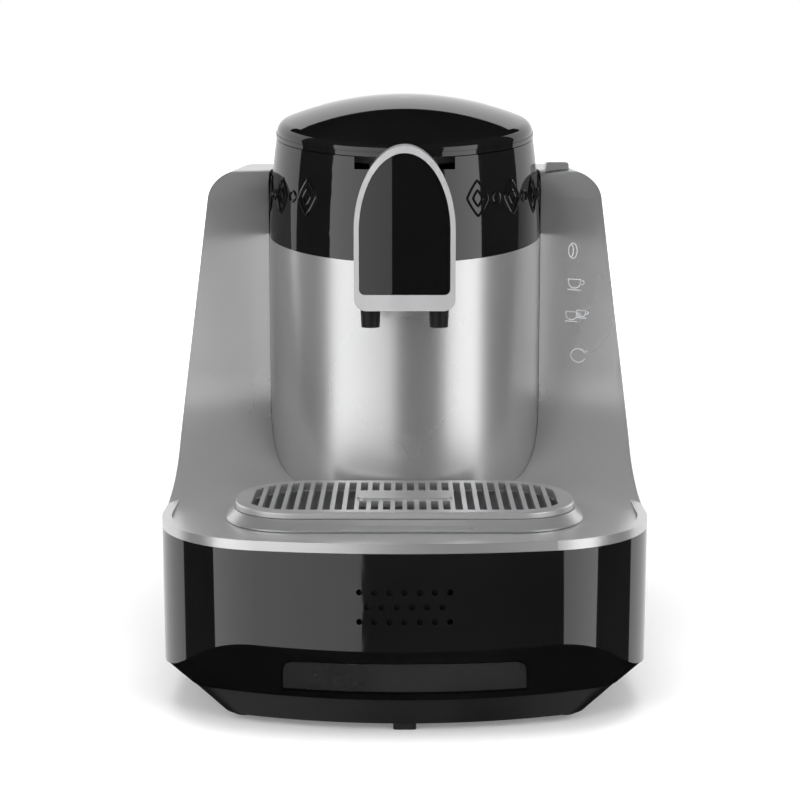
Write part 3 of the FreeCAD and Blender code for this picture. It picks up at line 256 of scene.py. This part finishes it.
def roundEdges():
    for node, width in edgeRounding.items():
        rounding = nodes[node].modifiers.new("edgeRounding", "BEVEL")
        rounding.width = width
        rounding.segments = edgeLook["segments"]
        rounding.limit_method = "ANGLE"
        rounding.angle_limit = math.radians(edgeLook["sharperThan"])
        rounding.harden_normals = True


roundEdges()
print("edges rounded")


# New pieces, in metres

sharpEdge = 40  # degrees, edges sharper than this stay crisp


def addMesh(name, corners, faces, finish, body):
    mesh = bpy.data.meshes.new(name)
    mesh.from_pydata(corners, [], faces)
    mesh.validate()
    work = bmesh.new()
    work.from_mesh(mesh)
    bmesh.ops.recalc_face_normals(work, faces=work.faces)
    work.to_mesh(mesh)
    work.free()
    mesh.shade_smooth()
    mesh.set_sharp_from_angle(angle=math.radians(sharpEdge))
    mesh.materials.append(finish)
    piece = bpy.data.objects.new(name, mesh)
    bpy.context.scene.collection.objects.link(piece)
    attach(piece, body)


def roundRod(path, radius, sides, outward):
    # a round rod swept along a closed path; outward(point) is the way off the surface it lies on
    corners, faces = [], []
    count = len(path)
    for i, point in enumerate(path):
        along = (path[(i + 1) % count] - path[i - 1]).normalized()
        side = along.cross(outward(point)).normalized()
        up = side.cross(along)
        for k in range(sides):
            turn = 2 * math.pi * k / sides
            corners.append(point + radius * (math.cos(turn) * side + math.sin(turn) * up))
    for i in range(count):
        j = (i + 1) % count
        for k in range(sides):
            m = (k + 1) % sides
            faces.append((i * sides + k, i * sides + m, j * sides + m, j * sides + k))
    return corners, faces


def joinParts(parts):
    corners, faces = [], []
    for more, moreFaces in parts:
        start = len(corners)
        corners += more
        faces += [tuple(start + i for i in face) for face in moreFaces]
    return corners, faces


# Raised ornament round the upper band: a lozenge within a lozenge, and small rings between them

bandOrnament = {
    "middle": 0.2375, "halfWidth": 0.0062, "halfHeight": 0.0088, "innerShare": 0.45, "lozengePower": 1.15,
    "ringRadius": 0.0026, "rod": 0.00055, "sink": 0.00012, "pitch": 19.0, "frontGap": 31.0,
    "lozengeSteps": 24, "ringSteps": 20, "rodSides": 8,
}
band = {"axisY": 0.0415, "radius": 0.0715, "bulgeStart": 0.206, "bulgeRadius": 0.42}


def onBand(turn, z, lift):
    rise = z - band["bulgeStart"]
    radius = band["radius"] - rise * rise / (2 * band["bulgeRadius"]) + lift
    return Vector((radius * math.sin(turn), band["axisY"] - radius * math.cos(turn), z))


def offBand(point):
    return Vector((point.x, point.y - band["axisY"], 0.0)).normalized()


def bandLoop(turn, halfWidth, halfHeight, steps, power):
    # power 1 gives a lozenge, 2 a ring
    o = bandOrnament
    points = []
    for i in range(steps):
        angle = 2 * math.pi * i / steps
        c, s = math.cos(angle), math.sin(angle)
        x = math.copysign(abs(c) ** (2 / power), c) * halfWidth
        z = math.copysign(abs(s) ** (2 / power), s) * halfHeight
        points.append(onBand(turn + x / band["radius"], o["middle"] + z, o["rod"] / 2 - o["sink"]))
    return roundRod(points, o["rod"], o["rodSides"], offBand)


def makeOrnament():
    o = bandOrnament
    lastTurn = 360 - o["frontGap"] + 0.01  # a hair more, so that the last lozenge counts
    parts = []
    turn = o["frontGap"]
    while turn <= lastTurn:
        for share in (1, o["innerShare"]):
            parts.append(bandLoop(math.radians(turn), o["halfWidth"] * share, o["halfHeight"] * share,
                                  o["lozengeSteps"], o["lozengePower"]))
        if turn + o["pitch"] <= lastTurn:
            between = math.radians(turn + o["pitch"] / 2)
            parts.append(bandLoop(between, o["ringRadius"], o["ringRadius"], o["ringSteps"], 2))
        turn += o["pitch"]
    corners, faces = joinParts(parts)
    addMesh("bandOrnament", corners, faces, finishes["black_gloss"], "machine")


# Printed touch marks on the right wing: bean, cup, two cups, ring with arrow, and two lamp dots

touchMarks = {
    "line": 0.00045, "lift": 0.00012, "thick": 0.00005, "column": 0.0890,
    "beanRow": 0.2076, "beanHalfWidth": 0.0021, "beanHalfHeight": 0.0040, "beanShift": -0.001,
    "creaseShift": -0.0033, "creaseHalfWidth": 0.0026, "creaseHalfHeight": 0.0042,
    "cupRow": 0.1904, "cupSize": 0.0031,
    "pairRow": 0.1737, "frontCup": (-0.0014, -0.0003, 0.0028), "backCup": (0.0036, 0.0012, 0.0022),
    "ringRow": 0.1526, "ringShift": 0.0023, "ringRadius": 0.0036,
    "dotRows": (0.1372, 0.1303), "dotShift": 0.0036, "dotRadius": 0.0006,
    "tickColumn": 0.0984, "tickHalfHeight": 0.0009,
}
wing = {"axisY": -0.1145, "radius": 0.168}


def onWing(x, z, lift):
    radius = wing["radius"] - lift
    return Vector((x, wing["axisY"] + math.sqrt(radius * radius - x * x), z))


def markStroke(points, closed):
    # a flat printed line along points given as x and z on the wing
    m = touchMarks
    half = m["line"] / 2
    count = len(points)
    corners, faces = [], []
    for i, (x, z) in enumerate(points):
        x0, z0 = points[i - 1] if closed or i > 0 else (x, z)
        x1, z1 = points[(i + 1) % count] if closed or i < count - 1 else (x, z)
        length = math.hypot(x1 - x0, z1 - z0)
        nx, nz = -(z1 - z0) / length * half, (x1 - x0) / length * half
        for side in (1, -1):
            for lift in (m["lift"] - m["thick"], m["lift"]):
                corners.append(onWing(x + side * nx, z + side * nz, lift))
    loops = count if closed else count - 1
    for i in range(loops):
        p, q = 4 * i, 4 * ((i + 1) % count)
        for u, v in ((0, 1), (1, 3), (3, 2), (2, 0)):
            faces.append((p + u, p + v, q + v, q + u))
    if not closed:
        end = 4 * (count - 1)
        faces += [(0, 2, 3, 1), (end, end + 1, end + 3, end + 2)]
    return corners, faces


def arcPoints(x, z, rx, rz, start, stop, steps):
    points = []
    for i in range(steps + 1):
        angle = math.radians(start + (stop - start) * i / steps)
        points.append((x + rx * math.cos(angle), z + rz * math.sin(angle)))
    return points


def cupMark(x, z, size):
    # bowl, rim, handle and saucer, all in shares of the cup's half width
    rim = z + size * 0.75
    bowl = [(x - size, rim)] + arcPoints(x, z, size * 0.9, size * 0.75, 180, 360, 10) + [(x + size, rim)]
    handle = arcPoints(x + size * 1.15, z + size * 0.25, size * 0.4, size * 0.35, 80, -100, 8)
    saucer = [(x - size * 1.1, z - size * 1.05), (x + size * 1.1, z - size * 1.05)]
    return [markStroke(line, False) for line in (bowl, [(x - size, rim), (x + size, rim)], handle, saucer)]


def ringMark(x, z, radius):
    # an open ring with an arrow head at its end
    arrow = [(x + radius * 0.5, z + radius * 0.95), (x + radius * 0.85, z + radius * 0.5),
             (x + radius * 1.25, z + radius * 0.85)]
    return [markStroke(arcPoints(x, z, radius, radius, 40, 340, 24), False), markStroke(arrow, False)]


def makeTouchMarks():
    m = touchMarks
    x = m["column"]
    bean = arcPoints(x + m["beanShift"], m["beanRow"], m["beanHalfWidth"], m["beanHalfHeight"], 0, 345, 22)
    crease = arcPoints(x + m["creaseShift"], m["beanRow"],
                       m["creaseHalfWidth"], m["creaseHalfHeight"], -60, 60, 10)
    parts = [markStroke(bean, True), markStroke(crease, False)]
    parts += cupMark(x, m["cupRow"], m["cupSize"])
    for shiftX, shiftZ, size in (m["frontCup"], m["backCup"]):
        parts += cupMark(x + shiftX, m["pairRow"] + shiftZ, size)
    parts += ringMark(x + m["ringShift"], m["ringRow"], m["ringRadius"])
    for row in m["dotRows"]:
        dot = arcPoints(x + m["dotShift"], row, m["dotRadius"], m["dotRadius"], 0, 330, 11)
        tick = [(m["tickColumn"], row - m["tickHalfHeight"]), (m["tickColumn"], row + m["tickHalfHeight"])]
        parts += [markStroke(dot, True), markStroke(tick, False)]
    corners, faces = joinParts(parts)
    addMesh("touchMarks", corners, faces, markFinish, "machine")


# Thin insert in the pocket of the slanting foot

footInsert = {
    "halfTop": 0.0550, "halfLow": 0.0560, "high": 0.0352, "low": 0.0194, "corner": 0.0046,
    "thick": 0.0006, "sink": 0.0011, "columns": 24,
    "rowShares": (0.0, 0.06, 0.15, 0.3, 0.5, 0.7, 0.85, 0.94, 1.0),  # closer together at the ends
}
hullSlope = {
    "frontHigh": -0.1425, "zHigh": 0.0424, "bowHigh": 0.350,
    "frontLow": -0.1273, "zLow": 0.0150, "bowLow": 0.230,
}


def makeFootInsert():
    f, h = footInsert, hullSlope
    columns, rows = f["columns"], len(f["rowShares"])
    corners, faces = [], []
    for depth in (f["sink"], f["sink"] + f["thick"]):
        for share in f["rowShares"]:
            z = f["low"] + (f["high"] - f["low"]) * share
            half = f["halfLow"] + (f["halfTop"] - f["halfLow"]) * share
            intoCorner = max(0.0, z - (f["high"] - f["corner"]))
            half -= f["corner"] - math.sqrt(max(0.0, f["corner"] ** 2 - intoCorner ** 2))
            step = (z - h["zLow"]) / (h["zHigh"] - h["zLow"])
            bow = h["bowLow"] + (h["bowHigh"] - h["bowLow"]) * step
            front = h["frontLow"] + (h["frontHigh"] - h["frontLow"]) * step
            for i in range(columns + 1):
                x = -half + 2 * half * i / columns
                corners.append((x, front + bow - math.sqrt(bow * bow - x * x) + depth, z))
    wide = columns + 1
    sheet = wide * rows
    for r in range(rows - 1):
        for i in range(columns):
            p = r * wide + i
            faces.append((p, p + 1, p + 1 + wide, p + wide))
            faces.append((p + sheet, p + sheet + wide, p + sheet + 1 + wide, p + sheet + 1))
    edge = list(range(wide))  # round the sheet: low, right, high, left
    edge += [r * wide + wide - 1 for r in range(1, rows)]
    edge += [(rows - 1) * wide + i for i in range(wide - 2, -1, -1)]
    edge += [r * wide for r in range(rows - 2, 0, -1)]
    for i, p in enumerate(edge):
        q = edge[(i + 1) % len(edge)]
        faces.append((p, p + sheet, q + sheet, q))
    addMesh("footInsert", corners, faces, insertFinish, "machine")


makeOrnament()
makeTouchMarks()
makeFootInsert()
print("ornament, touch marks and foot insert made")


# Studio

studio = {
    "floorDark": (0.85, 0.85, 0.85), "floorLight": (0.87, 0.87, 0.87), "floorGrain": 3.0,
    "floorRoughness": 0.18, "floorShine": 0.0, "floorSize": 120.0, "floorCells": 8,
    "floorGlow": 0.16, "whiteFrom": 0.45, "whiteTo": 1.6,  # the floor fades to white between these distances
    "worldDiffuse": 0.62,
    "topLamp": {"place": (0, -0.25, 1.5), "size": (1.1, 0.8), "watts": 14},
    "leftLamp": {"place": (-1.25, -1.35, 0.8), "size": (0.7, 1.2), "watts": 13},
    "rightLamp": {"place": (1.25, -1.35, 0.8), "size": (0.7, 1.2), "watts": 13},
    "aim": (0, 0, 0.14),
}


def seenRays(tree):
    # 1 for what the camera, a reflection or clear plastic sees, 0 for light that falls on the object
    rays = tree.nodes.new("ShaderNodeLightPath")
    seen = mathNode(tree, "MAXIMUM", rays.outputs["Is Camera Ray"], rays.outputs["Is Glossy Ray"])
    return mathNode(tree, "MAXIMUM", seen, rays.outputs["Is Transmission Ray"])


def makeFloor():
    cells = studio["floorCells"]
    bpy.ops.mesh.primitive_grid_add(x_subdivisions=cells, y_subdivisions=cells, size=studio["floorSize"])
    floor = bpy.context.object
    floor.name = "studioFloor"
    finish, tree, shader = newFinish("studioFloor")
    shader.inputs["Roughness"].default_value = studio["floorRoughness"]
    shader.inputs["Specular IOR Level"].default_value = studio["floorShine"]
    grain = grainNoise(tree, studio["floorGrain"])
    tree.links.new(tint(tree, grain, studio["floorDark"], studio["floorLight"]), shader.inputs["Base Color"])
    shader.inputs["Emission Color"].default_value = (1, 1, 1, 1)
    place = tree.nodes.new("ShaderNodeTexCoord")
    far = addNode(tree, "ShaderNodeVectorMath")
    far.operation = "LENGTH"
    tree.links.new(place.outputs["Object"], far.inputs[0])
    white = spread(tree, far.outputs["Value"], studio["floorGlow"], 1.0,
                   studio["whiteFrom"], studio["whiteTo"])
    tree.links.new(mathNode(tree, "MULTIPLY", white, seenRays(tree)), shader.inputs["Emission Strength"])
    floor.data.materials.append(finish)
    floor.visible_glossy = False  # polished parts see the cards below instead


def makeWorld():
    world = bpy.data.worlds.new("studioWorld")
    bpy.context.scene.world = world
    world.use_nodes = True
    tree = world.node_tree
    background = tree.nodes["Background"]
    strength = spread(tree, seenRays(tree), studio["worldDiffuse"], 1.0, 0.0, 1.0)
    tree.links.new(strength, background.inputs["Strength"])
    background.inputs["Color"].default_value = (1, 1, 1, 1)


def makeLamp(name):
    values = studio[name]
    lamp = bpy.data.lights.new(name, "AREA")
    lamp.shape = "RECTANGLE"
    lamp.size, lamp.size_y = values["size"]
    lamp.energy = values["watts"]
    holder = bpy.data.objects.new(name, lamp)
    holder.location = values["place"]
    aim = Vector(studio["aim"]) - Vector(values["place"])
    holder.rotation_euler = aim.to_track_quat("-Z", "Y").to_euler()
    holder.visible_glossy = False  # the cards make the highlights
    bpy.context.scene.collection.objects.link(holder)


# Cards that only polished surfaces see; turns are degrees from the front, negative to the left
cards = {
    "reach": 3.0, "low": -3.2, "softHigh": 1.25, "darkHigh": 4.2, "stepsPerCard": 12,
    "darkTurns": [(-103, -65), (-7.5, 34), (67, 112)], "darkGlow": 0.05, "flatGlow": 0.004, "softLow": -1.15,
    "leftSoft": (-65, -7.5), "leftGlow": (1.7, 0.95), "rightSoft": (34, 67), "rightGlow": (1.3, 1.9),
    "ceiling": (4.2, -4.0, 5.2), "ceilingLevel": 3.9, "underReach": 3.2, "underLevel": -1.6,
}


def cardFinish(name):
    finish, tree, shader = newFinish(name)
    shader.inputs["Base Color"].default_value = (0, 0, 0, 1)
    shader.inputs["Roughness"].default_value = 1.0
    shader.inputs["Specular IOR Level"].default_value = 0.0
    shader.inputs["Emission Color"].default_value = (1, 1, 1, 1)
    glow = tree.nodes.new("ShaderNodeAttribute")
    glow.attribute_name = "glow"
    tree.links.new(glow.outputs["Fac"], shader.inputs["Emission Strength"])
    return finish


def makeCard(name, corners, faces, glows):
    mesh = bpy.data.meshes.new(name)
    mesh.from_pydata(corners, [], faces)
    mesh.attributes.new("glow", "FLOAT", "POINT").data.foreach_set("value", glows)
    card = bpy.data.objects.new(name, mesh)
    bpy.context.scene.collection.objects.link(card)
    mesh.materials.append(cardFinish(name))
    card.visible_camera = False
    card.visible_diffuse = False
    card.visible_shadow = False
    card.visible_transmission = False


def makeCurvedCard(name, turns, low, high, glow):
    count = cards["stepsPerCard"]
    corners, faces, glows = [], [], []
    for i in range(count + 1):
        turn = math.radians(turns[0] + (turns[1] - turns[0]) * i / count)
        x, y = cards["reach"] * math.sin(turn), -cards["reach"] * math.cos(turn)
        corners += [(x, y, low), (x, y, high)]
        glows += [glow[0] + (glow[1] - glow[0]) * i / count] * 2
    for i in range(count):
        faces.append((2 * i, 2 * i + 2, 2 * i + 3, 2 * i + 1))
    makeCard(name, corners, faces, glows)


def makeFlatCard(name, halfX, y0, y1, z):
    corners = [(-halfX, y0, z), (halfX, y0, z), (halfX, y1, z), (-halfX, y1, z)]
    makeCard(name, corners, [(0, 1, 2, 3)], [cards["flatGlow"]] * 4)


def makeCards():
    c = cards
    dark = (c["darkGlow"], c["darkGlow"])
    for i, turns in enumerate(c["darkTurns"]):
        makeCurvedCard("darkCard%d" % i, turns, c["low"], c["darkHigh"], dark)
    for name, glow in (("leftSoft", c["leftGlow"]), ("rightSoft", c["rightGlow"])):
        turns = c[name]
        makeCurvedCard(name + "Card", turns, c["softLow"], c["softHigh"], glow)
        makeCurvedCard(name + "Low", turns, c["low"], c["softLow"], dark)
        makeCurvedCard(name + "Dark", turns, c["softHigh"], c["darkHigh"], dark)
    makeFlatCard("ceilingCard", *c["ceiling"], c["ceilingLevel"])
    makeFlatCard("underCard", c["underReach"], -c["underReach"], c["underReach"], c["underLevel"])


cameraLook = {
    "place": (0, -0.9392, 0.288), "tilt": 80.6382, "sensor": 36.0,
    "focal": 1850.0, "frameWidth": 800.0, "centreColumn": 404.7,  # these three in pixels
    "nearest": 0.02, "farthest": 60.0,
}


def makeCamera():
    c = cameraLook
    lens = bpy.data.cameras.new("studioCamera")
    lens.sensor_width = c["sensor"]
    lens.lens = c["focal"] / c["frameWidth"] * lens.sensor_width
    lens.shift_x = (c["frameWidth"] / 2 - c["centreColumn"]) / c["frameWidth"]
    lens.clip_start = c["nearest"]
    lens.clip_end = c["farthest"]
    camera = bpy.data.objects.new("studioCamera", lens)
    camera.location = c["place"]
    camera.rotation_euler = (math.radians(c["tilt"]), 0, 0)
    bpy.context.scene.collection.objects.link(camera)
    bpy.context.scene.camera = camera


makeFloor()
makeWorld()
makeLamp("topLamp")
makeLamp("leftLamp")
makeLamp("rightLamp")
makeCards()
makeCamera()
bpy.context.scene.view_settings.view_transform = "Standard"
print("studio set")
